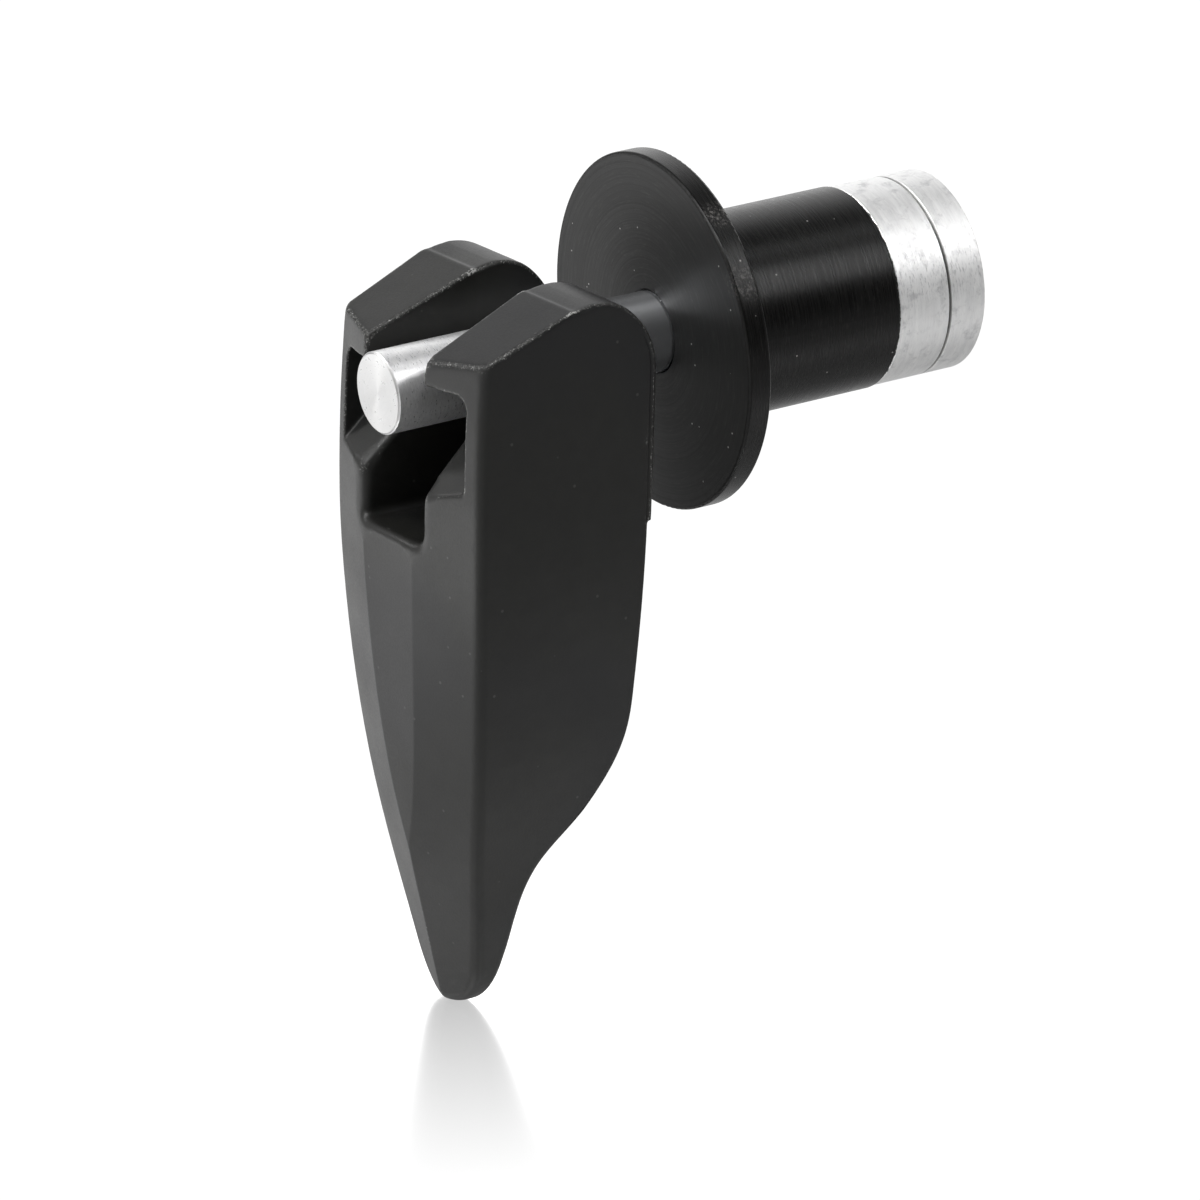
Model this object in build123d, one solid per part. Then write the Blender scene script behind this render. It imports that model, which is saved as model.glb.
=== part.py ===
from build123d import *
import math
import os

os.makedirs("parts", exist_ok=True)

# ---------------------------------------------------------------- frame
# X  across the fork, Y  along the draw rod towards the plug end, Z  up.
# Origin: on the rod's axis, at the rear face of the flange (where a tube ends).
# Lengths in millimetres.

# ---------------------------------------------------------------- rubber bushing: flange and sleeve in one
flange_r = 17.5
flange_t = 2.5
sleeve_r = 10.0
sleeve_len = 19.5
bushing_bore_r = 4.06
flange_rim_round = 0.3
sleeve_root_round = 0.4
sleeve_end_round = 0.12

# ---------------------------------------------------------------- thrust ring and end disc
ring_r = 9.88
ring_len = 5.9
ring_bore_r = 4.06
disc_r = 9.88
disc_t = 4.04
disc_gap = 0.06          # air between ring and disc
ring_face_gap = 0.02     # air between sleeve and ring
metal_edge = 0.18        # broken edge on the turned metal pieces

# ---------------------------------------------------------------- draw rod
rod_r = 4.0
rod_front_y = -32.8
rod_edge = 0.2
rod_cross_r = 2.05       # cross hole the pivot pin turns in
tap_r = 2.1              # tapping size of the M5 thread in the rear end
tap_depth = 14.0

# ---------------------------------------------------------------- end screw, M5 countersunk with hexagon socket
screw_r = 2.1            # drawn at the thread's root, so the two threads do not overlap
screw_len = 13.0         # overall
screw_head_r = 4.6
screw_head_land = 0.3    # short cylinder over the 90 degree cone
screw_af = 3.0
screw_socket_depth = 1.8
disc_hole_r = 2.7

# ---------------------------------------------------------------- pivot pin
pivot_y = -21.75
pin_r = 2.0
pin_end_x = 11.9         # blind end, inside the +X arm
pin_start_x = -13.2      # open end, just inside the -X face
pin_edge = 0.3
pin_blind_gap = 0.2      # air behind the pin in its blind socket

# ---------------------------------------------------------------- cam
cam_cy = -16.86
cam_cz = 1.80
cam_r = 6.80
cam_crown = 0.15         # the top of the cam stands this much over its circle
pad_lean = 5.25          # degrees between the pad and the vertical in the hanging pose
pad_end_z = -13.7
pad_step = 0.42          # the pad stands proud of the lever's back

# ---------------------------------------------------------------- lever
part_y = -19.0           # mould parting line over the top of each arm
part_z = 8.55
part_step = 0.16
nose_y = -30.2
nose_z = 4.25            # top slope reaches this height at nose_y
half_w_rear = 13.3       # half width at the back
facet_deg = 14.4         # slope of the two front facets

# half width of the front outline, (height, half width), then a straight taper and a round tip
front_outline = [(3.0, 12.8), (-5.0, 13.05), (-12.0, 13.2), (-18.2, 13.0), (-24.5, 12.5), (-30.0, 11.85), (-35.0, 11.1)]
part_outline = [(3.0, 13.95), (-5.0, 13.95), (-12.0, 13.93), (-18.2, 13.75), (-24.5, 13.25), (-30.0, 12.6), (-35.0, 11.85)]
taper = [(-40.0, 10.1), (-45.0, 8.9), (-50.0, 7.65), (-54.5, 6.5), (-57.4, 5.7)]
tip_fullness = 1.15
tip_z = -62.2

# ridge line where the two front facets would meet, (z, y)
ridge = [(12.0, -31.2), (4.9, -32.0), (-2.5, -32.95), (-9.8, -33.6), (-15.4, -33.92), (-21.0, -34.0),
         (-28.0, -33.88), (-35.0, -33.5), (-42.0, -32.85), (-49.0, -31.85), (-54.6, -30.9), (-59.5, -30.1), (-66.0, -28.9)]
# flat between the facets, (z, y)
face = [(12.0, -31.6), (-9.8, -32.53), (-24.5, -32.93), (-35.0, -32.77), (-46.2, -32.35), (-66.0, -31.4)]
# back of the lever below the pad, (z, y)
tail = [(-31.0, -13.6), (-34.0, -14.05), (-37.0, -15.1), (-40.0, -16.9), (-43.3, -19.6), (-46.8, -22.85),
        (-50.8, -24.65), (-55.0, -25.5), (-58.5, -26.3)]

# fork gap and slot the rod swings through
gap_half = 4.35          # at the parting plane, its narrowest
gap_half_front = 5.87    # at gap_front_y
gap_half_rear = 5.1      # at gap_rear_y
gap_front_y = -36.0
gap_rear_y = -7.0
web_top_z = -5.6
slot_back_y = -17.2
slot_floor_z = -13.75
slot_corner_r = 2.2
slot_side_r = 0.9          # between the slot's floor and its sides

# cored pocket in the front of each arm, over a ramp
pocket_half = 11.2
pocket_half_deep = 10.9
pocket_back_y = -25.3
pocket_roof_z = 1.65
pocket_corner_r = 1.6
ramp_start = (-32.25, -9.15)   # (y, z)
ramp_slope = 0.855

# rounding of the lever's edges
front_round = 1.2
edge_round = 0.5
gap_round = 0.4
slot_round = 0.8


def yz(y, z):
    return Vector(0, y, z)


def prism_x(face_yz, half):
    """A face in the YZ plane, extruded both ways along X."""
    return extrude(Pos(-half, 0, 0) * face_yz, amount=2 * half, dir=(1, 0, 0))


def turned(points):
    """Solid of revolution about the Y axis from (radius, y) points."""
    pts = [Vector(r, y, 0) for r, y in points]
    return revolve(Face(Wire.make_polygon(pts, close=True)), axis=Axis.Y, revolution_arc=360)


def outline_wire(y, pts, dw):
    """Front outline of the lever in the plane at y, its half width increased by dw."""
    top = 14.0
    wide = pts[-1][1] - front_outline[-1][1] + dw
    p = [Vector(w + dw, y, z) for z, w in pts]
    first = (p[1] - p[0]).normalized()
    p.insert(0, p[0] - first * ((top - p[0].Z) / -first.Z))
    p += [Vector(w + wide * (0.9 - 0.15 * i), y, z) for i, (z, w) in enumerate(taper)]
    last = (p[-1] - p[-2]).normalized()
    tip = Vector(0, y, tip_z)
    mir = [Vector(-v.X, v.Y, v.Z) for v in reversed(p)]
    back = Vector(last.X, 0, -last.Z)
    return Wire([
        Spline(*p, tangents=[first, last]),
        Spline(p[-1], tip, tangents=[last, (-1, 0, 0)], tangent_scalars=[tip_fullness, tip_fullness]),
        Spline(tip, mir[0], tangents=[(-1, 0, 0), back], tangent_scalars=[tip_fullness, tip_fullness]),
        Spline(*mir, tangents=[back, Vector(first.X, 0, -first.Z)]),
        Line(mir[-1], p[0]),
    ])


def lever_blank():
    th = math.radians(pad_lean)
    nrm = Vector(0, math.cos(th), -math.sin(th))
    down = Vector(0, -math.sin(th), -math.cos(th))
    c = yz(cam_cy, cam_cz)
    pad_top = c + nrm * cam_r
    pad_bot = pad_top + down * ((pad_top.Z - pad_end_z) / math.cos(th))
    back_top = pad_bot - nrm * pad_step
    t0 = Vector(0, tail[0][1], tail[0][0])
    cam_top = yz(cam_cy, cam_cz + cam_r + cam_crown)
    a45 = c + Vector(0, math.sin(math.radians(45)), math.cos(math.radians(45))) * cam_r
    k = (part_z - nose_z) / (part_y - nose_y)
    front_top = yz(-40, nose_z + (-40 - nose_y) * k)
    low = Vector(0, tail[-1][1], tail[-1][0])

    # side profile: slope, cam, pad, step, back, tail
    e = [
        Line(front_top, yz(part_y, part_z)),
        Spline(yz(part_y, part_z), cam_top, tangents=[(0, 1, 0.2), (0, 1, 0)]),
        Spline(cam_top, a45, pad_top, tangents=[(0, 1, 0), down]),
        Line(pad_top, pad_bot),
        Line(pad_bot, back_top),
        Line(back_top, t0),
        Spline(*[Vector(0, y, z) for z, y in tail], tangents=[(t0 - back_top).normalized(), (0, -0.24, -1)]),
        Line(low, yz(low.Y - 0.24 * 7.5, low.Z - 7.5)),
        Line(yz(low.Y - 0.24 * 7.5, low.Z - 7.5), yz(-40, low.Z - 7.5)),
        Line(yz(-40, low.Z - 7.5), front_top),
    ]
    side = Face(Wire(e))

    # front outline with draft both ways from the parting plane
    w0 = outline_wire(-36.0, front_outline, -0.15)
    w1 = outline_wire(part_y, part_outline, 0)
    w2 = outline_wire(-8.0, part_outline, half_w_rear - part_outline[0][1])
    body = Solid.make_loft([w0, w1], ruled=True) + Solid.make_loft([w1, w2], ruled=True)
    body = body & prism_x(side, 20)

    # two front facets
    rc = Spline(*[Vector(0, y, z) for z, y in ridge])
    keep = Face(Wire([rc, Line(rc @ 1, yz(5, -66)), Line(yz(5, -66), yz(5, 12)), Line(yz(5, 12), rc @ 0)]))
    tg = math.tan(math.radians(facet_deg))
    d = Vector(1, tg, 0)
    right = extrude(keep, amount=20 * d.length, dir=d.normalized())
    left = extrude(keep, amount=20 * d.length, dir=Vector(-1, tg, 0).normalized())
    body = body & (right + left)

    # flat between the facets
    fc = Spline(*[Vector(0, y, z) for z, y in face])
    flat = Face(Wire([fc, Line(fc @ 1, yz(5, -66)), Line(yz(5, -66), yz(5, 12)), Line(yz(5, 12), fc @ 0)]))
    body = body & prism_x(flat, 20)
    return body


def fork_tool():
    """Space the rod swings through: open at the top, front and rear."""
    p = [(gap_half_front, gap_front_y), (gap_half, part_y), (gap_half_rear, gap_rear_y)]
    pts = [Vector(x, y, -20) for x, y in p] + [Vector(-x, y, -20) for x, y in reversed(p)]
    plan = extrude(Face(Wire.make_polygon(pts, close=True)), amount=40, dir=(0, 0, 1))
    r = slot_corner_r
    a = yz(slot_back_y, web_top_z)
    sidef = Face(Wire([
        Line(yz(gap_front_y, 20), yz(gap_rear_y, 20)),
        Line(yz(gap_rear_y, 20), yz(gap_rear_y, web_top_z)),
        Line(yz(gap_rear_y, web_top_z), a),
        Line(a, yz(slot_back_y, slot_floor_z + r)),
        ThreePointArc(yz(slot_back_y, slot_floor_z + r), yz(slot_back_y - r * 0.2929, slot_floor_z + r * 0.2929),
                      yz(slot_back_y - r, slot_floor_z)),
        Line(yz(slot_back_y - r, slot_floor_z), yz(gap_front_y, slot_floor_z)),
        Line(yz(gap_front_y, slot_floor_z), yz(gap_front_y, 20)),
    ]))
    tool = plan & prism_x(sidef, 12)
    # the slot's floor runs into its sides in a round
    def sect(y, half):
        top = web_top_z + 1.0
        sk = Plane.XZ.offset(-y) * (Pos(0, (top + 4 + slot_floor_z) / 2) * RectangleRounded(2 * half, top + 4 - slot_floor_z, slot_side_r))
        return sk.faces()[0].outer_wire()
    k = (gap_half_rear - gap_half) / (gap_rear_y - part_y)
    back = slot_back_y + 0.5
    low = Solid.make_loft([sect(gap_front_y, gap_half_front), sect(part_y, gap_half)], ruled=True) + Solid.make_loft(
        [sect(part_y, gap_half), sect(back, gap_half + k * (back - part_y))], ruled=True)
    upper = Pos(0, -20, web_top_z + 0.5) * Box(40, 60, 40, align=(Align.CENTER, Align.CENTER, Align.MIN))
    return (tool & upper) + (tool & low)


def pocket_tool():
    """Cored space in the front of each arm, over a ramp."""
    def sect(y, h, roof):
        sk = Plane.XZ.offset(-y) * (Pos(0, (roof - 20) / 2) * RectangleRounded(2 * h, roof + 20, pocket_corner_r))
        return sk.faces()[0].outer_wire()
    box = Solid.make_loft([sect(-40.0, pocket_half + 0.5, pocket_roof_z + 0.3),
                           sect(pocket_back_y, pocket_half_deep, pocket_roof_z - 0.2)], ruled=True)
    y0, z0 = ramp_start
    zb = z0 + ramp_slope * (pocket_back_y + 1 - y0)
    zf = z0 + ramp_slope * (-42 - y0)
    above = Face(Wire.make_polygon([yz(-42, zf), yz(pocket_back_y + 1, zb), yz(pocket_back_y + 1, 12), yz(-42, 12)], close=True))
    return box & prism_x(above, 16)


def step_tool():
    """Thin layer taken off behind the parting line, so the slope ends in a small step."""
    a, b = yz(part_y, part_z - part_step), yz(cam_cy + 1.2, cam_cz + cam_r + cam_crown + 0.05)
    low = Spline(a, b, tangents=[(0, 1, 0.22), (0, 1, -0.02)])
    sidef = Face(Wire([low, Line(b, yz(cam_cy + 1.2, 14)), Line(yz(cam_cy + 1.2, 14), yz(part_y, 14)), Line(yz(part_y, 14), a)]))
    return prism_x(sidef, 20)


def pick(body, points, reach=1.6):
    """The edge of the body nearest to each point."""
    found = []
    for p in points:
        v = Vector(*p)
        best = min(body.edges(), key=lambda e: (e @ 0.5 - v).length)
        if (best @ 0.5 - v).length < reach:
            found.append(best)
    return found


def both(points):
    """The same points on both sides of the lever's middle plane."""
    return [(s * x, y, z) for x, y, z in points for s in (1, -1)]


def soften(body, points, radii):
    """Round the edges at these points with the first radius that makes one sound solid."""
    edges = pick(body, points)
    for r in radii:
        try:
            out = body.fillet(r, edges)
        except Exception:
            continue
        if out.is_valid and len(out.solids()) == 1:
            return out.solids()[0]
    print("edges left sharp:", points[0], len(edges))
    return body


def make_lever():
    body = (lever_blank().solids()[0] - fork_tool() - pocket_tool()).solids()[0]
    # edges between the front facets and the sides, down to the tip
    body = soften(body, both([(3.67, -28.93, -60.83), (12.4, -30.74, -26.61)]), [front_round, 1.0])
    # nose, top slope, cam, back and tail
    body = soften(body, both([(9.29, -29.67, 4.45), (13.55, -23.81, 6.7), (13.53, -11.84, 6.39), (13.46, -10.77, -6.26),
                              (13.89, -17.93, 8.62), (11.18, -15.25, -37.31), (13.09, -12.74, -22.35),
                              (5.63, -26.17, -57.96), (3.27, -26.94, -61.16)]), [edge_round, 0.4])
    # top edges of the fork gap
    body = soften(body, both([(4.87, -24.86, 6.3), (4.8, -11.84, 6.39), (4.42, -17.93, 8.62)]), [gap_round, 0.3])
    # ramps and the mouth of the slot
    body = soften(body, both([(5.22, -28.71, -6.13), (8.36, -31.35, -8.38), (5.54, -32.26, -10.95), (5.29, -32.48, -13.49),
                              (4.59, -32.67, -13.75)]) + [(0, -32.69, -13.75)], [slot_round, 0.7, 0.6])
    body = (body - step_tool()).solids()[0]
    bore = Pos(pin_start_x - 4, pivot_y, 0) * Rot(0, 90, 0) * Cylinder(
        pin_r, pin_end_x + pin_blind_gap - (pin_start_x - 4), align=(Align.CENTER, Align.CENTER, Align.MIN))
    return (body - bore).solids()[0]


def along_y(y0, y1, r):
    return Pos(0, y0, 0) * Rot(-90, 0, 0) * Cylinder(r, y1 - y0, align=(Align.CENTER, Align.CENTER, Align.MIN))


def circles(body, r, y):
    """Circular edges of radius r at the station y."""
    return [e for e in body.edges().filter_by(GeomType.CIRCLE) if abs(e.radius - r) < 1e-3 and abs((e @ 0).Y - y) < 1e-3]


# ---------------------------------------------------------------- stations along the rod
ring_y0 = sleeve_len + ring_face_gap
ring_y1 = ring_y0 + ring_len
disc_y0 = ring_y1 + disc_gap
disc_y1 = disc_y0 + disc_t

# lever
lever = make_lever()

# bushing
bushing = along_y(-flange_t, 0, flange_r) + along_y(0, sleeve_len, sleeve_r) - along_y(-flange_t - 1, sleeve_len + 1, bushing_bore_r)
bushing = bushing.solids()[0]
bushing = bushing.fillet(flange_rim_round, circles(bushing, flange_r, -flange_t) + circles(bushing, flange_r, 0))
bushing = bushing.fillet(sleeve_root_round, circles(bushing, sleeve_r, 0))
bushing = bushing.fillet(sleeve_end_round, circles(bushing, sleeve_r, sleeve_len))
bushing = bushing.chamfer(0.2, None, circles(bushing, bushing_bore_r, -flange_t))

# thrust ring
thrust_ring = (along_y(ring_y0, ring_y1, ring_r) - along_y(ring_y0 - 1, ring_y1 + 1, ring_bore_r)).solids()[0]
thrust_ring = thrust_ring.chamfer(metal_edge, None, circles(thrust_ring, ring_r, ring_y0) + circles(thrust_ring, ring_r, ring_y1))

# draw rod with cross hole for the pin and a tapped rear end
rod = along_y(rod_front_y, disc_y0, rod_r).solids()[0]
rod = rod.chamfer(rod_edge, None, circles(rod, rod_r, rod_front_y) + circles(rod, rod_r, disc_y0))
rod = rod - along_y(disc_y0 - tap_depth, disc_y0 + 1, tap_r)
rod = rod - Pos(-10, pivot_y, 0) * Rot(0, 90, 0) * Cylinder(rod_cross_r, 20, align=(Align.CENTER, Align.CENTER, Align.MIN))
draw_rod = rod.solids()[0]

# end disc, countersunk
r_land = screw_head_r + 0.05
y_land = disc_y1 - screw_head_land - 0.02
sink = turned([(0, disc_y1 + 1), (r_land, disc_y1 + 1), (r_land, y_land), (disc_hole_r, y_land - (r_land - disc_hole_r)),
               (disc_hole_r, disc_y0 - 1), (0, disc_y0 - 1)])
end_disc = (along_y(disc_y0, disc_y1, disc_r) - sink).solids()[0]
end_disc = end_disc.chamfer(metal_edge, None, circles(end_disc, disc_r, disc_y0) + circles(end_disc, disc_r, disc_y1))

# end screw
y_head = disc_y1 - 0.02
y_cone = y_head - screw_head_land
screw = turned([(0, y_head), (screw_head_r, y_head), (screw_head_r, y_cone), (screw_r, y_cone - (screw_head_r - screw_r)),
                (screw_r, y_head - screw_len + 0.5), (screw_r - 0.5, y_head - screw_len), (0, y_head - screw_len)])
hexagon = Plane((0, y_head + 0.5, 0), x_dir=(1, 0, 0), z_dir=(0, -1, 0)) * RegularPolygon(screw_af / 2, 6, major_radius=False)
end_screw = (screw - extrude(hexagon, amount=screw_socket_depth + 0.5)).solids()[0]

# pivot pin
pin = Pos(pin_start_x, pivot_y, 0) * Rot(0, 90, 0) * Cylinder(pin_r, pin_end_x - pin_start_x, align=(Align.CENTER, Align.CENTER, Align.MIN))
pin = pin.solids()[0]
pivot_pin = pin.chamfer(pin_edge, None, pin.edges().filter_by(GeomType.CIRCLE))

for name, solid in (("lever", lever), ("pivot_pin", pivot_pin), ("draw_rod", draw_rod), ("bushing", bushing),
                    ("thrust_ring", thrust_ring), ("end_disc", end_disc), ("end_screw", end_screw)):
    solid.label = name
    export_step(solid, "parts/%s.step" % name)
    b = solid.bounding_box()
    print("%-12s %9.1f mm3  x %.2f..%.2f  y %.2f..%.2f  z %.2f..%.2f" % (
        name, solid.volume, b.min.X, b.max.X, b.min.Y, b.max.Y, b.min.Z, b.max.Z))
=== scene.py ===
import math

import bmesh
import bpy
import numpy as np
from mathutils import Matrix, Vector


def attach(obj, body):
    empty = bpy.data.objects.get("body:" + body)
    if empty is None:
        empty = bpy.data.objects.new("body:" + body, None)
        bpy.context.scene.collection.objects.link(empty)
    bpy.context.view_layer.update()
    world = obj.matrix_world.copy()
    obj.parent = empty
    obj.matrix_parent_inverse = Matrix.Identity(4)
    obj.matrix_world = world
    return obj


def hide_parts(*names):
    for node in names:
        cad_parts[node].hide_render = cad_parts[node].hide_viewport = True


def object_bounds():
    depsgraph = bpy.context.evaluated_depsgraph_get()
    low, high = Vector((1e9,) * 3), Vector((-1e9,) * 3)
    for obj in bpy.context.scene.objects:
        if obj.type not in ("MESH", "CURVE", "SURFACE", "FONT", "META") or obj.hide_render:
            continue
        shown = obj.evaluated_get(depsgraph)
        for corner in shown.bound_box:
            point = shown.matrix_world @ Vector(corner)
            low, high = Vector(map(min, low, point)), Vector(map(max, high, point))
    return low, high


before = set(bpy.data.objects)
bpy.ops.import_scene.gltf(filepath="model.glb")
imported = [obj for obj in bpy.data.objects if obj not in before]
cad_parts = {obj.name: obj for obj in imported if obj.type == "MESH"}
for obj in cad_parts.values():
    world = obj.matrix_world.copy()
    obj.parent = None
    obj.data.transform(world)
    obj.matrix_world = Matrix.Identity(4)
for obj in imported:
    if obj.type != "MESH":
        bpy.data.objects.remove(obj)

CAD_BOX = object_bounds()
MM = 1000.0


# ---------------------------------------------------------------- node helpers
class Nodes:
    """A small builder for one material's node tree."""

    def __init__(self, name):
        self.mat = bpy.data.materials.new(name)
        self.mat.use_nodes = True
        self.t = self.mat.node_tree
        self.t.nodes.clear()
        self.out = self.t.nodes.new("ShaderNodeOutputMaterial")
        self.p = self.t.nodes.new("ShaderNodeBsdfPrincipled")
        self.link(self.p.outputs[0], self.out.inputs[0])
        self.obj = self.t.nodes.new("ShaderNodeTexCoord").outputs["Object"]

    def link(self, a, b):
        self.t.links.new(a, b)

    def put(self, sock, v):
        if hasattr(v, "links"):
            self.link(v, sock)
        else:
            sock.default_value = v

    def math(self, op, a, b=None, c=None, clamp=False):
        n = self.t.nodes.new("ShaderNodeMath")
        n.operation = op
        n.use_clamp = clamp
        for i, v in enumerate((a, b, c)):
            if v is not None:
                self.put(n.inputs[i], v)
        return n.outputs[0]

    def vec(self, op, a, b=None):
        n = self.t.nodes.new("ShaderNodeVectorMath")
        n.operation = op
        self.put(n.inputs[0], a)
        if b is not None:
            self.put(n.inputs[1], b)
        return n.outputs["Value"] if op in ("LENGTH", "DISTANCE", "DOT_PRODUCT") else n.outputs["Vector"]

    def scaled(self, v, s):
        """v in metres to a vector multiplied by s on each axis."""
        return self.vec("MULTIPLY", v, s if isinstance(s, tuple) else (s, s, s))

    def split(self, v):
        n = self.t.nodes.new("ShaderNodeSeparateXYZ")
        self.link(v, n.inputs[0])
        return n.outputs

    def join(self, x, y, z):
        n = self.t.nodes.new("ShaderNodeCombineXYZ")
        for i, v in enumerate((x, y, z)):
            self.put(n.inputs[i], v)
        return n.outputs[0]

    def noise(self, v, scale, detail=2.0, rough=0.5, dist=0.0, color=False, dims="3D"):
        n = self.t.nodes.new("ShaderNodeTexNoise")
        n.noise_dimensions = dims
        if dims == "1D":
            self.put(n.inputs["W"], v)
        else:
            self.put(n.inputs["Vector"], v)
        n.inputs["Scale"].default_value = scale
        n.inputs["Detail"].default_value = detail
        n.inputs["Roughness"].default_value = rough
        n.inputs["Distortion"].default_value = dist
        return n.outputs["Color" if color else "Fac"]

    def voronoi(self, v, scale, feature="F1", rand=1.0):
        n = self.t.nodes.new("ShaderNodeTexVoronoi")
        n.feature = feature
        self.put(n.inputs["Vector"], v)
        n.inputs["Scale"].default_value = scale
        n.inputs["Randomness"].default_value = rand
        return n.outputs["Distance"]

    def ramp(self, v, *stops):
        """Colour ramp through (position, value or rgb) stops."""
        n = self.t.nodes.new("ShaderNodeValToRGB")
        self.link(v, n.inputs[0])
        e = n.color_ramp.elements
        while len(e) < len(stops):
            e.new(0.5)
        for el, (pos, val) in zip(e, stops):
            el.position = pos
            el.color = (val, val, val, 1) if not isinstance(val, tuple) else (*val, 1)
        return n.outputs[0]

    def remap(self, v, a, b, c, d, smooth=False):
        n = self.t.nodes.new("ShaderNodeMapRange")
        n.interpolation_type = "SMOOTHSTEP" if smooth else "LINEAR"
        for i, x in enumerate((v, a, b, c, d)):
            self.put(n.inputs[i], x)
        return n.outputs[0]

    def mix(self, fac, a, b):
        n = self.t.nodes.new("ShaderNodeMix")
        n.data_type = "RGBA"
        self.put(n.inputs[0], fac)
        for s, v in ((n.inputs[6], a), (n.inputs[7], b)):
            self.put(s, v if hasattr(v, "links") or len(v) == 4 else (*v, 1))
        return n.outputs[2]

    def bump(self, height, strength, distance, normal=None):
        n = self.t.nodes.new("ShaderNodeBump")
        n.inputs["Strength"].default_value = strength
        n.inputs["Distance"].default_value = distance
        self.link(height, n.inputs["Height"])
        if normal is not None:
            self.link(normal, n.inputs["Normal"])
        return n.outputs[0]

    def tangent(self, axis):
        n = self.t.nodes.new("ShaderNodeTangent")
        n.direction_type = "RADIAL"
        n.axis = axis
        return n.outputs[0]

    def set(self, **kw):
        for k, v in kw.items():
            self.put(self.p.inputs[k.replace("_", " ")], v)


# ---------------------------------------------------------------- materials
def moulded_black():
    n = Nodes("moulded_black")
    mm = n.scaled(n.obj, MM)
    cloud = n.noise(mm, 0.09, 3, 0.55)
    blotch = n.noise(mm, 0.45, 4, 0.6)
    grain = n.noise(mm, 4.6, 2, 0.5)
    fine = n.noise(mm, 11.0, 2, 0.6)
    edge = n.t.nodes.new("ShaderNodeAttribute")
    edge.attribute_name = "convex"
    convex = edge.outputs["Fac"]
    edge = n.remap(convex, 0.30, 0.85, 0.0, 1.0, smooth=True)
    x, y, z = n.split(mm)
    # the wide rounds at the front end of each arm's top get the same treatment: a painted highlight line of pale wear
    # and glints along each nose
    nose = n.math("MULTIPLY", n.remap(y, -28.2, -28.8, 0.0, 1.0), n.remap(z, 2.6, 3.2, 0.0, 1.0))
    edge = n.math("MAXIMUM", edge, n.math("MULTIPLY", nose, n.remap(convex, 0.14, 0.42, 0.0, 1.0, smooth=True)))
    # painted glints crowd where slope and cam meet on the outer edge of each arm, over a pale worn lift
    seam = n.math("MULTIPLY", n.remap(n.math("ABSOLUTE", n.math("ADD", y, 19.2)), 0.3, 1.2, 1.0, 0.0, smooth=True),
                  n.remap(z, 6.6, 7.3, 0.0, 1.0))
    seam = n.math("MULTIPLY", seam, n.remap(x, -9.0, -7.0, 0.4, 1.0))
    wear_and_glint = n.math("MULTIPLY", edge, n.math("MAXIMUM", n.remap(n.noise(mm, 2.6, 3, 0.6), 0.42, 0.62, 0.15, 1.0), seam))
    low = n.math("SUBTRACT", 0.57, n.math("MULTIPLY", seam, 0.13))
    speck = n.math("DIVIDE", n.math("SUBTRACT", n.noise(mm, 5.5, 2, 0.5), low), 0.09, clamp=True)
    # painted glints: bright specks on the worn edges stand in for light catching their rough faces
    painted_glint = n.math("MULTIPLY", wear_and_glint, speck)
    dust = n.remap(n.voronoi(mm, 0.42), 0.045, 0.075, 1.0, 0.0)
    col = n.mix(n.remap(blotch, 0.3, 0.7, 0.0, 1.0), (0.0058, 0.0058, 0.0050), (0.0085, 0.0085, 0.0074))
    col = n.mix(n.remap(n.noise(mm, 0.05, 2, 0.5), 0.42, 0.60, 0.0, 0.8, smooth=True), col, (0.0062, 0.0063, 0.0070))
    col = n.mix(n.math("MULTIPLY", wear_and_glint, 0.6), col, (0.050, 0.050, 0.047))
    # painted highlight: the glint specks are pale colour where the edges would sparkle in the light
    col = n.mix(n.math("MULTIPLY", painted_glint, 0.9), col, (0.33, 0.33, 0.32))
    n.set(Base_Color=n.mix(n.math("MULTIPLY", dust, 0.25), col, (0.12, 0.12, 0.115)), Metallic=0.0)
    rough = n.math("ADD", n.remap(cloud, 0.3, 0.7, 0.39, 0.48), n.remap(grain, 0.3, 0.7, -0.03, 0.03))
    n.set(Roughness=n.math("SUBTRACT", rough, n.math("MULTIPLY", wear_and_glint, 0.12)))
    n.p.inputs["IOR"].default_value = 1.45
    h = n.math("ADD", n.math("MULTIPLY", grain, 0.7), n.math("MULTIPLY", fine, 0.3))
    base = n.bump(h, 0.35, 0.00003)
    rub = n.t.nodes.new("ShaderNodeBump")
    n.put(rub.inputs["Strength"], n.math("MULTIPLY", edge, 0.8))
    rub.inputs["Distance"].default_value = 0.00010
    n.link(n.noise(mm, 4.2, 3, 0.65), rub.inputs["Height"])
    n.link(base, rub.inputs["Normal"])
    n.set(Normal=rub.outputs[0])
    return n.mat


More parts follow.
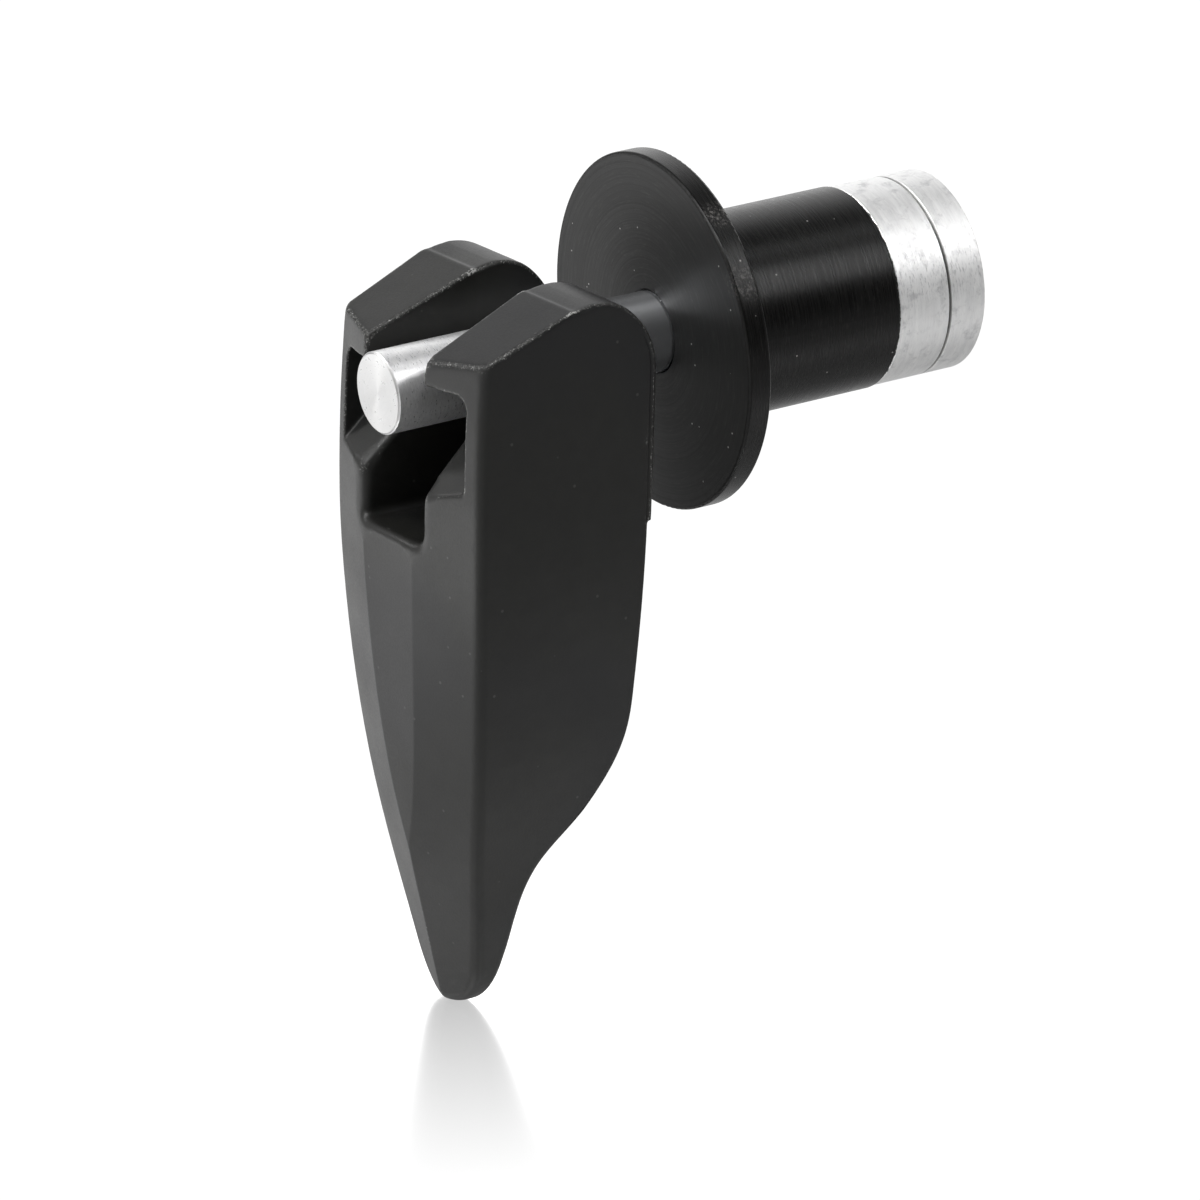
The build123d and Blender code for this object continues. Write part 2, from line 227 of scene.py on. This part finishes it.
def turned_rubber():
    n = Nodes("turned_rubber")
    mm = n.scaled(n.obj, MM)
    x, y, z = n.split(mm)
    r = n.math("SQRT", n.math("ADD", n.math("MULTIPLY", x, x), n.math("MULTIPLY", z, z)))
    wob = n.noise(mm, 0.12, 2, 0.5)
    rr = n.math("ADD", r, n.math("MULTIPLY", wob, 0.25))
    ring = n.noise(n.join(rr, n.math("MULTIPLY", y, 1.0), 0.0), 5.5, 3, 0.7)
    fine = n.noise(mm, 9.0, 2, 0.6)
    dust = n.voronoi(mm, 0.55)
    speck = n.remap(dust, 0.035, 0.06, 1.0, 0.0)
    base = n.mix(n.remap(ring, 0.35, 0.7, 0.0, 1.0), (0.0013, 0.0013, 0.0012), (0.0036, 0.0035, 0.0032))
    # short scratches round the turning, and pale streaky patches of painted highlight on the top of the flange's rim
    turn = n.math("ARCTAN2", z, n.math("MULTIPLY", x, -1.0))
    scratch = n.noise(n.join(rr, n.math("MULTIPLY", y, 1.0), n.math("MULTIPLY", turn, 1.6)), 4.5, 4, 0.75)
    scratch = n.remap(scratch, 0.54, 0.70, 0.0, 1.0)
    base = n.mix(n.math("MULTIPLY", scratch, 0.8), base, (0.016, 0.0155, 0.0145))
    # painted highlight: two pale patches where the rim catches the light
    for px, pz, reach, amount in ((10.8, 13.8, 1.9, 1.0), (15.4, 8.3, 2.6, 0.6)):
        off = n.vec("LENGTH", n.join(n.math("SUBTRACT", x, px), n.math("ADD", y, 1.0), n.math("SUBTRACT", z, pz)))
        near = n.math("MULTIPLY", n.remap(off, 0.3 * reach, reach, amount, 0.0, smooth=True), n.remap(n.noise(mm, 3.4, 3, 0.7), 0.50, 0.66, 0.0, 1.0))
        base = n.mix(near, base, (0.13, 0.125, 0.12))
    n.set(Base_Color=n.mix(speck, base, (0.35, 0.34, 0.33)), Metallic=0.0)
    flat = n.remap(y, -2.45, -2.3, 1.0, 0.0)        # the flange's face, duller than its rim and the sleeve
    n.set(Roughness=n.math("ADD", n.remap(ring, 0.3, 0.7, 0.22, 0.34), n.math("MULTIPLY", flat, 0.22)))
    n.p.inputs["IOR"].default_value = 1.5
    n.p.inputs["Specular IOR Level"].default_value = 0.25
    n.p.inputs["Anisotropic"].default_value = 0.12
    n.set(Tangent=n.tangent("Y"))
    h = n.math("ADD", n.math("MULTIPLY", ring, 0.85), n.math("MULTIPLY", fine, 0.15))
    h = n.math("MULTIPLY", h, n.remap(flat, 0.0, 1.0, 1.0, 0.45))
    n.set(Normal=n.bump(h, 0.4, 0.00004))
    return n.mat


def turned_aluminium():
    n = Nodes("turned_aluminium")
    mm = n.scaled(n.obj, MM)
    x, y, z = n.split(mm)
    r = n.math("SQRT", n.math("ADD", n.math("MULTIPLY", x, x), n.math("MULTIPLY", z, z)))
    wob = n.noise(mm, 0.2, 2, 0.5)
    line = n.noise(n.join(n.math("ADD", r, n.math("MULTIPLY", wob, 0.2)), y, 0.0), 6.0, 3, 0.75)
    streak = n.noise(n.join(n.math("MULTIPLY", x, 0.25), n.math("MULTIPLY", y, 2.2), n.math("MULTIPLY", z, 0.25)), 0.9, 4, 0.7)
    patch = n.noise(n.join(n.math("MULTIPLY", x, 0.8), n.math("MULTIPLY", y, 0.8), n.math("MULTIPLY", z, 0.8)), 0.8, 5, 0.7, 0.2)
    patch = n.remap(patch, 0.50, 0.68, 0.0, 1.0, smooth=True)
    patch = n.math("MULTIPLY", patch, n.remap(n.noise(mm, 0.16, 2, 0.5), 0.42, 0.62, 0.1, 1.0, smooth=True))
    seam = n.remap(n.math("ABSOLUTE", n.math("SUBTRACT", y, 25.45)), 0.10, 0.22, 1.0, 0.0, smooth=True)
    seam = n.math("MULTIPLY", seam, n.remap(r, 9.6, 9.7, 0.0, 1.0))
    col = n.mix(n.remap(streak, 0.35, 0.65, 0.0, 1.0), (0.83, 0.83, 0.83), (0.95, 0.95, 0.945))
    col = n.mix(n.math("MULTIPLY", patch, n.remap(streak, 0.3, 0.6, 0.3, 0.75)), col, (0.55, 0.55, 0.56))
    # fine dull dashes, thickest on the right
    dash = n.noise(n.join(n.math("MULTIPLY", x, 1.1), n.math("MULTIPLY", y, 5.0), n.math("MULTIPLY", z, 1.1)), 1.2, 3, 0.7)
    off = n.vec("LENGTH", n.join(n.math("SUBTRACT", x, 9.3), 0.0, n.math("SUBTRACT", z, 3.4)))
    dash = n.math("MULTIPLY", n.remap(dash, 0.47, 0.33, 0.0, 1.0), n.remap(off, 0.8, 4.2, 0.75, 0.18, smooth=True))
    col = n.mix(dash, col, (0.42, 0.42, 0.43))
    # a black band with a ragged edge on the ring, next to the rubber's end
    ragged = n.math("ADD", n.remap(n.noise(mm, 1.1, 3, 0.7), 0.3, 0.7, -0.09, 0.05), 19.66)
    lip = n.math("MULTIPLY", n.math("LESS_THAN", y, ragged), n.math("GREATER_THAN", r, 9.5))
    col = n.mix(n.math("MULTIPLY", lip, 0.95), col, (0.012, 0.012, 0.011))
    n.set(Base_Color=n.mix(n.math("MULTIPLY", seam, 0.85), col, (0.10, 0.10, 0.095)), Metallic=0.9)
    n.set(Roughness=n.remap(streak, 0.3, 0.7, 0.34, 0.54))
    n.p.inputs["Anisotropic"].default_value = 0.6
    n.set(Tangent=n.tangent("Y"))
    n.set(Normal=n.bump(line, 0.25, 0.00002))
    return n.mat


def ground_aluminium():
    n = Nodes("ground_aluminium")
    mm = n.scaled(n.obj, MM)
    x, y, z = n.split(mm)
    r = n.math("SQRT", n.math("ADD", n.math("MULTIPLY", x, x), n.math("MULTIPLY", z, z)))
    line = n.noise(n.join(r, n.math("MULTIPLY", y, 1.6), 0.0), 5.0, 3, 0.7)
    blot = n.noise(mm, 0.9, 4, 0.65)
    # short grinding marks round the bar
    brush = n.noise(n.join(n.math("MULTIPLY", x, 1.4), n.math("MULTIPLY", y, 4.6), n.math("MULTIPLY", z, 1.4)), 1.3, 4, 0.7)
    end = n.remap(y, -32.72, -32.62, 1.0, 0.0)
    rear = n.remap(y, -14.5, -12.0, 0.0, 1.0)       # behind the fork the bar is cleaner
    col = n.mix(n.remap(blot, 0.35, 0.65, 0.0, 1.0), (0.65, 0.65, 0.66), (0.76, 0.76, 0.76))
    col = n.mix(n.math("MULTIPLY", n.remap(brush, 0.48, 0.66, 0.0, 0.45), n.remap(rear, 0.0, 1.0, 1.0, 0.3)), col, (0.95, 0.95, 0.95))
    col = n.mix(n.math("MULTIPLY", n.remap(brush, 0.44, 0.30, 0.0, 0.16), n.remap(rear, 0.0, 1.0, 1.0, 0.2)), col, (0.42, 0.42, 0.425))
    col = n.mix(rear, col, n.mix(0.8, col, (0.90, 0.92, 0.95)))
    # painted sheen on the faced-off end: two pale fans of painted highlight across the turning marks
    turn = n.math("ARCTAN2", x, z)
    painted_fan = n.math("ABSOLUTE", n.math("COSINE", n.math("SUBTRACT", turn, 0.35)))
    painted_fan = n.math("POWER", painted_fan, 10.0)
    rings = n.noise(n.join(n.math("MULTIPLY", r, 2.0), n.math("MULTIPLY", turn, 0.6), 0.0), 2.2, 3, 0.6)
    face = n.math("ADD", n.math("MULTIPLY", painted_fan, 0.6), n.math("MULTIPLY", rings, 0.5), clamp=True)
    n.set(Base_Color=n.mix(end, col, n.mix(face, (0.42, 0.42, 0.42), (0.55, 0.55, 0.545))),
          Metallic=n.remap(y, -14.5, -12.0, 0.68, 0.93))
    n.set(Roughness=n.math("MULTIPLY", n.remap(brush, 0.3, 0.7, 0.255, 0.37), n.remap(rear, 0.0, 1.0, 1.0, 0.5)))
    n.p.inputs["Anisotropic"].default_value = 0.65
    n.set(Tangent=n.tangent("Y"))
    marks = n.math("MULTIPLY", n.math("MULTIPLY", brush, n.remap(rear, 0.0, 1.0, 0.6, 0.15)), n.math("SUBTRACT", 1.0, end))
    n.set(Normal=n.bump(n.math("ADD", n.math("MULTIPLY", line, n.remap(end, 0.0, 1.0, 0.8, 0.25)), marks), 0.12, 0.00002))
    return n.mat


def plain_steel(name, tint, rough):
    n = Nodes(name)
    mm = n.scaled(n.obj, MM)
    a = n.noise(mm, 1.4, 4, 0.6)
    b = n.noise(mm, 7.0, 2, 0.5)
    n.set(Base_Color=n.mix(a, tuple(0.8 * c for c in tint), tint), Metallic=1.0)
    n.set(Roughness=n.remap(a, 0.3, 0.7, rough, rough + 0.14))
    n.set(Normal=n.bump(b, 0.12, 0.00001))
    return n.mat


def dress(node, mat):
    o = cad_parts[node]
    if not o.material_slots:
        o.data.materials.append(mat)
    for s in o.material_slots:
        s.link = "OBJECT"
        s.material = mat


plastic = moulded_black()
rubber = turned_rubber()
alu = turned_aluminium()
bar = ground_aluminium()
dress("lever", plastic)
dress("bushing", rubber)
dress("thrust_ring", alu)
dress("end_disc", alu)
dress("draw_rod", bar)
dress("pivot_pin", plain_steel("pin_steel", (0.62, 0.62, 0.63), 0.22))
dress("end_screw", plain_steel("screw_steel", (0.58, 0.58, 0.56), 0.28))


# ---------------------------------------------------------------- the moulding, with the soft edges a mould gives
VOXEL = 0.09     # mm
SIDE_SEAM_Y = -19.0                     # the sides are widest here, mm
CAM_C = np.array([-16.86, 1.80])        # cam centre in Y, Z, mm
CAM_R = 6.80
PAD_LEAN = math.radians(5.25)


def mesh_arrays(me):
    n = len(me.vertices)
    v = np.empty(n * 3)
    me.vertices.foreach_get("co", v)
    e = np.empty(len(me.edges) * 2, dtype=np.int64)
    me.edges.foreach_get("vertices", e)
    return v.reshape(-1, 3), e.reshape(-1, 2)


def normals(me):
    n = np.empty(len(me.vertices) * 3)
    me.vertices.foreach_get("normal", n)
    return n.reshape(-1, 3)


def relax(v, e, rounds, weight=0.5):
    """Laplacian rounds on the vertices; weight is one number or one per vertex, and where it is 0 nothing moves."""
    n = len(v)
    w = np.full(n, weight) if np.isscalar(weight) else weight
    keep = (w[e[:, 0]] > 1e-4) | (w[e[:, 1]] > 1e-4)
    used, inv = np.unique(e[keep], return_inverse=True)
    inv = inv.reshape(-1, 2)
    a, b, m = inv[:, 0], inv[:, 1], len(used)
    deg = np.maximum(np.bincount(a, minlength=m) + np.bincount(b, minlength=m), 1)[:, None]
    p, wl = v[used], w[used, None]
    for _ in range(rounds):
        total = np.stack([np.bincount(a, p[b, k], m) + np.bincount(b, p[a, k], m) for k in range(p.shape[1])], 1)
        p += wl * (total / deg - p)
    v[used] = p
    return v


def near_map(points, lo, cell, shape, reach):
    """A grid of cells that lie within reach of the points."""
    g = np.zeros(shape, dtype=bool)
    r = int(math.ceil(reach / cell))
    idx = np.unique(np.floor((points - lo) / cell).astype(int), axis=0)
    for dx in range(-r, r + 1):
        for dy in range(-r, r + 1):
            for dz in range(-r, r + 1):
                if dx * dx + dy * dy + dz * dz <= (reach / cell) ** 2:
                    q = np.clip(idx + (dx, dy, dz), 0, np.array(shape) - 1)
                    g[q[:, 0], q[:, 1], q[:, 2]] = True
    return g


def make_moulding(node):
    me = node.data.copy()
    bm = bmesh.new()
    bm.from_mesh(me)
    bmesh.ops.remove_doubles(bm, verts=bm.verts, dist=2e-7)
    # sample the edges that the solid leaves sharp
    pts = []
    for ed in bm.edges:
        if len(ed.link_faces) == 2 and ed.calc_face_angle(0.0) > math.radians(36):
            p, q = np.array(ed.verts[0].co) * MM, np.array(ed.verts[1].co) * MM
            k = max(2, int(np.linalg.norm(q - p) / 0.12) + 1)
            pts.append(p + (q - p) * np.linspace(0, 1, k)[:, None])
    pts = np.vstack(pts)
    bm.to_mesh(me)
    bm.free()
    me.transform(Matrix.Scale(MM, 4))
    for p in me.polygons:
        p.use_smooth = True
    tmp = bpy.data.objects.new("tmp", me)
    bpy.context.collection.objects.link(tmp)
    mod = tmp.modifiers.new("remesh", "REMESH")
    mod.mode = "VOXEL"
    mod.voxel_size = VOXEL
    dg = bpy.context.evaluated_depsgraph_get()
    dense = bpy.data.meshes.new_from_object(tmp.evaluated_get(dg))
    bpy.data.objects.remove(tmp)
    v, e = mesh_arrays(dense)
    f = (0.09 / VOXEL) ** 2
    v = relax(v, e, max(1, round(5 * f)))

    # the edges the solid leaves sharp get a mould's round, except the fine steps and the pin's bore
    step = (np.abs(pts[:, 1] + 19.0) < 0.5) & (pts[:, 2] > 7.4)
    pad_end = (pts[:, 1] > -12.4) & (np.abs(pts[:, 2] + 13.9) < 0.6)
    bore = (np.hypot(pts[:, 1] + 21.75, pts[:, 2]) < 2.3) & (pts[:, 0] < -12.0)
    parting = pts[step]
    pts = pts[~(step | pad_end | bore)]
    core = (np.abs(pts[:, 0]) > 6.4) & (pts[:, 1] < -25.0) & (pts[:, 2] > -8.6) & (pts[:, 2] < 2.4)
    lo = v.min(0) - 2.0
    cell = 0.25
    shape = tuple(int(x) for x in np.ceil((v.max(0) + 2.0 - lo) / cell))
    at = np.floor((v - lo) / cell).astype(int)

    def zone(points, *steps):
        w = np.zeros(len(v))
        for reach, amount in steps:
            g = near_map(points, lo, cell, shape, reach)
            w[g[at[:, 0], at[:, 1], at[:, 2]]] = amount
        return relax(w[:, None], e, 6, (w > 0) * 0.5)[:, 0]

    v = relax(v, e, max(2, round(12 * f)), zone(pts[core], (0.7, 0.25), (0.45, 0.5)))
    v = relax(v, e, max(2, round(44 * f)), zone(pts[~core], (1.0, 0.2), (0.7, 0.5)))
    v = relax(v, e, max(1, round(14 * f)), zone(parting, (0.5, 0.5)))
    # the corners where ramp, slot and floor meet are rounder still
    soft = []
    for sx in (1, -1):
        for t in np.linspace(0, 1, 12):
            soft.append((sx * (5.45 + 0.5 * t), -32.4 + 0.9 * t, -10.2 + 1.9 * t))
            soft.append((sx * (5.5 - 1.0 * t), -32.45 - 0.2 * t, -12.4 - 1.4 * t))
    v = relax(v, e, max(3, round(200 * f)), zone(np.array(soft), (1.9, 0.12), (1.5, 0.3), (1.1, 0.5)))
    # and so is the front end of each arm's top
    nose = [(sx * (6.0 + 6.2 * t), -30.6 + 1.70 * t, 3.9 + 0.60 * t) for sx in (1, -1) for t in np.linspace(0, 1, 14)]
    v = relax(v, e, max(3, round(60 * f)), zone(np.array(nose), (1.2, 0.12), (0.95, 0.3), (0.7, 0.5)))

    dense.vertices.foreach_set("co", v.ravel())
    dense.update()
    nrm = normals(dense)

    # the outer sides: one soft swell over the widest line, where the two drafts meet
    side = np.sign(v[:, 0])
    out = np.clip((nrm[:, 0] * side - 0.55) / 0.35, 0, 1)
    out = out * out * (3 - 2 * out)
    reach = 7.0
    d = np.clip(1 - np.abs(v[:, 1] - SIDE_SEAM_Y) / reach, 0, 1)
    v[:, 0] -= side * out * (0.109 * reach / 4) * d * d

    # a fine line along the cam and pad on each outer side
    rel = v[:, 1:] - CAM_C
    n2 = np.array([math.cos(PAD_LEAN), -math.sin(PAD_LEAN)])
    t2 = np.array([math.sin(PAD_LEAN), math.cos(PAD_LEAN)])
    along = rel @ t2
    inset = np.where(along > 0, CAM_R - np.hypot(rel[:, 0], rel[:, 1]), CAM_R - rel @ n2)
    end = np.clip((v[:, 2] + 13.9) / 0.3, 0, 1) * np.clip((0.42 - along / CAM_R) / 0.2 + 0.5, 0, 1)
    groove = np.clip(1 - ((inset - 0.62) / 0.13) ** 2, 0, 1) * end * (nrm[:, 0] * side > 0.5) * (rel[:, 0] > 0)
    v[:, 0] -= side * groove * 0.13

    v = relax(v, e, 1, 0.25)
    dense.vertices.foreach_set("co", (v / MM).ravel())
    dense.update()
    piece = bpy.data.objects.new("lever_moulding", dense)
    bpy.context.collection.objects.link(piece)
    mod = piece.modifiers.new("decimate", "DECIMATE")
    mod.ratio = 186000 / (2 * len(dense.polygons))
    dg = bpy.context.evaluated_depsgraph_get()
    light = bpy.data.meshes.new_from_object(piece.evaluated_get(dg))
    piece.modifiers.clear()
    piece.data = light
    me = piece.data
    for p in me.polygons:
        p.use_smooth = True
    # how convex the surface is, for the worn look of the edges
    v, e = mesh_arrays(me)
    nrm = normals(me)
    d = v[e[:, 1]] - v[e[:, 0]]
    ln = np.linalg.norm(d, axis=1) + 1e-9
    c = np.einsum("ij,ij->i", nrm[e[:, 1]] - nrm[e[:, 0]], d) / (ln * ln) / MM
    w = ln
    k = np.bincount(e[:, 0], c * w, len(v)) + np.bincount(e[:, 1], c * w, len(v))
    k /= np.maximum(np.bincount(e[:, 0], w, len(v)) + np.bincount(e[:, 1], w, len(v)), 1e-12)
    k = relax(np.clip(k, -1, 4)[:, None], e, 6, 0.5)[:, 0]
    at = me.attributes.new("convex", "FLOAT", "POINT")
    at.data.foreach_set("value", np.clip(k / 1.2, 0, 1))
    piece.data.materials.clear()
    piece.data.materials.append(plastic)
    return piece


lever = make_moulding(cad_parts["lever"])
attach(lever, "lever")
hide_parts("lever")


# ---------------------------------------------------------------- floor
floor_z = CAD_BOX[0][2] - 0.00005
bpy.ops.mesh.primitive_grid_add(x_subdivisions=8, y_subdivisions=8, size=6.0, location=(0, 0, floor_z))
floor = bpy.context.object
floor.name = "floor"
fm = Nodes("floor_white")
fm.set(Roughness=0.16)
fm.p.inputs["IOR"].default_value = 2.2
fx, fy, fz = fm.split(fm.obj)
# painted shade: the floor is darker behind and under the plug, as in its shadow; it shows only in reflections and
# bounce light
painted_shade_under = fm.vec("LENGTH", fm.join(fm.math("ADD", fx, 0.01), fm.math("SUBTRACT", fy, 0.05), 0.0))
fm.set(Base_Color=fm.mix(fm.remap(painted_shade_under, 0.03, 0.09, 1.0, 0.0, smooth=True), (0.53, 0.53, 0.53), (0.34, 0.34, 0.34)))
# painted light: the floor glows to the left of and in front of the lever and lights it as lamps would, seen only in
# reflections and bounce light
left = fm.math("MULTIPLY", fm.remap(fx, 0.12, -0.12, 0.0, 0.67, smooth=True), fm.remap(fy, -0.09, -0.045, 0.46, 1.0, smooth=True))
left = fm.math("MULTIPLY", left, fm.remap(fy, -0.01, 0.06, 1.0, 0.2, smooth=True))
front = fm.math("MULTIPLY", fm.remap(fy, -0.11, -0.20, 0.0, 3.3, smooth=True), fm.remap(fy, -0.26, -0.38, 1.0, 0.15, smooth=True))
front = fm.math("MULTIPLY", front, fm.remap(fx, -0.01, 0.07, 1.0, 0.2, smooth=True))
glow = fm.math("ADD", left, front)
camera_ray = fm.t.nodes.new("ShaderNodeLightPath").outputs["Is Camera Ray"]
fm.set(Emission_Color=(1, 1, 1, 1), Emission_Strength=glow)
# seen from the camera it is a white glowing sheet with painted shade: the white dims in a disc round the lever's tip,
# and only there a glossy mirror image of the lever fades in
off = fm.vec("LENGTH", fm.join(fx, fm.math("ADD", fy, 0.029), 0.0))
near = fm.remap(off, 0.0, 0.049, 1.0, 0.0)
sheet = fm.t.nodes.new("ShaderNodeEmission")
fm.put(sheet.inputs["Strength"], fm.math("SUBTRACT", 1.06, fm.math("MULTIPLY", near, 0.53)))
gloss = fm.t.nodes.new("ShaderNodeBsdfGlossy")
mirror = fm.math("MULTIPLY", near, 0.80)
fm.link(fm.join(mirror, mirror, mirror), gloss.inputs["Color"])
gloss.inputs["Roughness"].default_value = 0.2
both_sheets = fm.t.nodes.new("ShaderNodeAddShader")
fm.link(sheet.outputs[0], both_sheets.inputs[0])
fm.link(gloss.outputs[0], both_sheets.inputs[1])
pick = fm.t.nodes.new("ShaderNodeMixShader")
fm.link(camera_ray, pick.inputs[0])
fm.link(fm.p.outputs[0], pick.inputs[1])
fm.link(both_sheets.outputs[0], pick.inputs[2])
fm.link(pick.outputs[0], fm.out.inputs[0])
floor.data.materials.append(fm.mat)


# ---------------------------------------------------------------- light
def area(name, loc, target, size, power, size_y=None, spread=180):
    d = bpy.data.lights.new(name, "AREA")
    d.shape = "RECTANGLE"
    d.size = size
    d.size_y = size_y or size
    d.energy = power
    d.spread = math.radians(spread)
    o = bpy.data.objects.new(name, d)
    bpy.context.collection.objects.link(o)
    o.location = loc
    o.visible_camera = False
    o.rotation_euler = (Vector(target) - Vector(loc)).to_track_quat("-Z", "Y").to_euler()
    return o


area("front_top", (-0.02, -0.38, 0.58), (0.0, -0.08, -0.06), 0.30, 3.0)
area("band", (0.40, 0.33, 0.40), (0, 0.01, 0.0), 0.10, 0.75, size_y=0.34)
area("overhead", (0.10, 0.32, 0.56), (0, 0.01, 0.0), 0.04, 0.15, size_y=0.30)
area("edge_top", (0.27, -0.03, 0.53), (0, -0.02, 0.0), 0.12, 0.9)
area("edge_front", (-0.38, -0.33, 0.35), (0, -0.02, 0.0), 0.10, 0.5)

world = bpy.data.worlds.new("studio")
bpy.context.scene.world = world
world.use_nodes = True
wt = world.node_tree
wt.nodes.clear()


def wnode(kind, *inputs, **props):
    n = wt.nodes.new(kind)
    for k, v in props.items():
        setattr(n, k, v)
    for i, v in enumerate(inputs):
        if v is None:
            continue
        if hasattr(v, "links"):
            wt.links.new(v, n.inputs[i])
        else:
            n.inputs[i].default_value = v
    return n


way = wnode("ShaderNodeTexCoord").outputs["Generated"]
level = None
for direction, inner, outer, gain in (
        ((-0.74, 0.60, 0.29), 0.985, 0.72, 1.10),    # large soft box, left and behind
        ((-0.30, -0.85, 0.35), 0.95, 0.5, 0.35),     # pale wall in front
        ((0.88, 0.45, 0.10), 0.97, 0.74, -0.11)):    # dark side of the room, right and behind
    d = Vector(direction).normalized()
    dot = wnode("ShaderNodeVectorMath", way, tuple(d), operation="DOT_PRODUCT").outputs["Value"]
    lobe = wnode("ShaderNodeMapRange", dot, outer, inner, 0.0, gain, interpolation_type="SMOOTHSTEP").outputs[0]
    level = lobe if level is None else wnode("ShaderNodeMath", level, lobe, operation="ADD").outputs[0]
level = wnode("ShaderNodeMath", level, 0.2, operation="ADD").outputs[0]
lit = wnode("ShaderNodeBackground", (1, 1, 1, 1), level)
seen = wnode("ShaderNodeBackground", (1, 1, 1, 1), 1.0)
ray = wnode("ShaderNodeLightPath").outputs["Is Camera Ray"]
mixer = wnode("ShaderNodeMixShader", ray, lit.outputs[0], seen.outputs[0])
wnode("ShaderNodeOutputWorld", mixer.outputs[0])

# ---------------------------------------------------------------- camera
cam = bpy.data.objects.new("camera", bpy.data.cameras.new("camera"))
bpy.context.collection.objects.link(cam)
cam.data.sensor_fit = "HORIZONTAL"
cam.data.sensor_width = 36.0
cam.data.lens = 239.2
cam.data.clip_start = 0.01
cam.data.clip_end = 20.0
cam.data.dof.use_dof = False
cam.matrix_world = Matrix((
    (0.52291553, -0.25391221, 0.81368786, 0.625096),
    (0.85103445, 0.20922788, -0.48162647, -0.379684),
    (-0.04795534, 0.94432638, 0.32549654, 0.224415),
    (0, 0, 0, 1)))
bpy.context.scene.camera = cam

scene = bpy.context.scene
scene.view_settings.view_transform = "Standard"
scene.view_settings.look = "None"
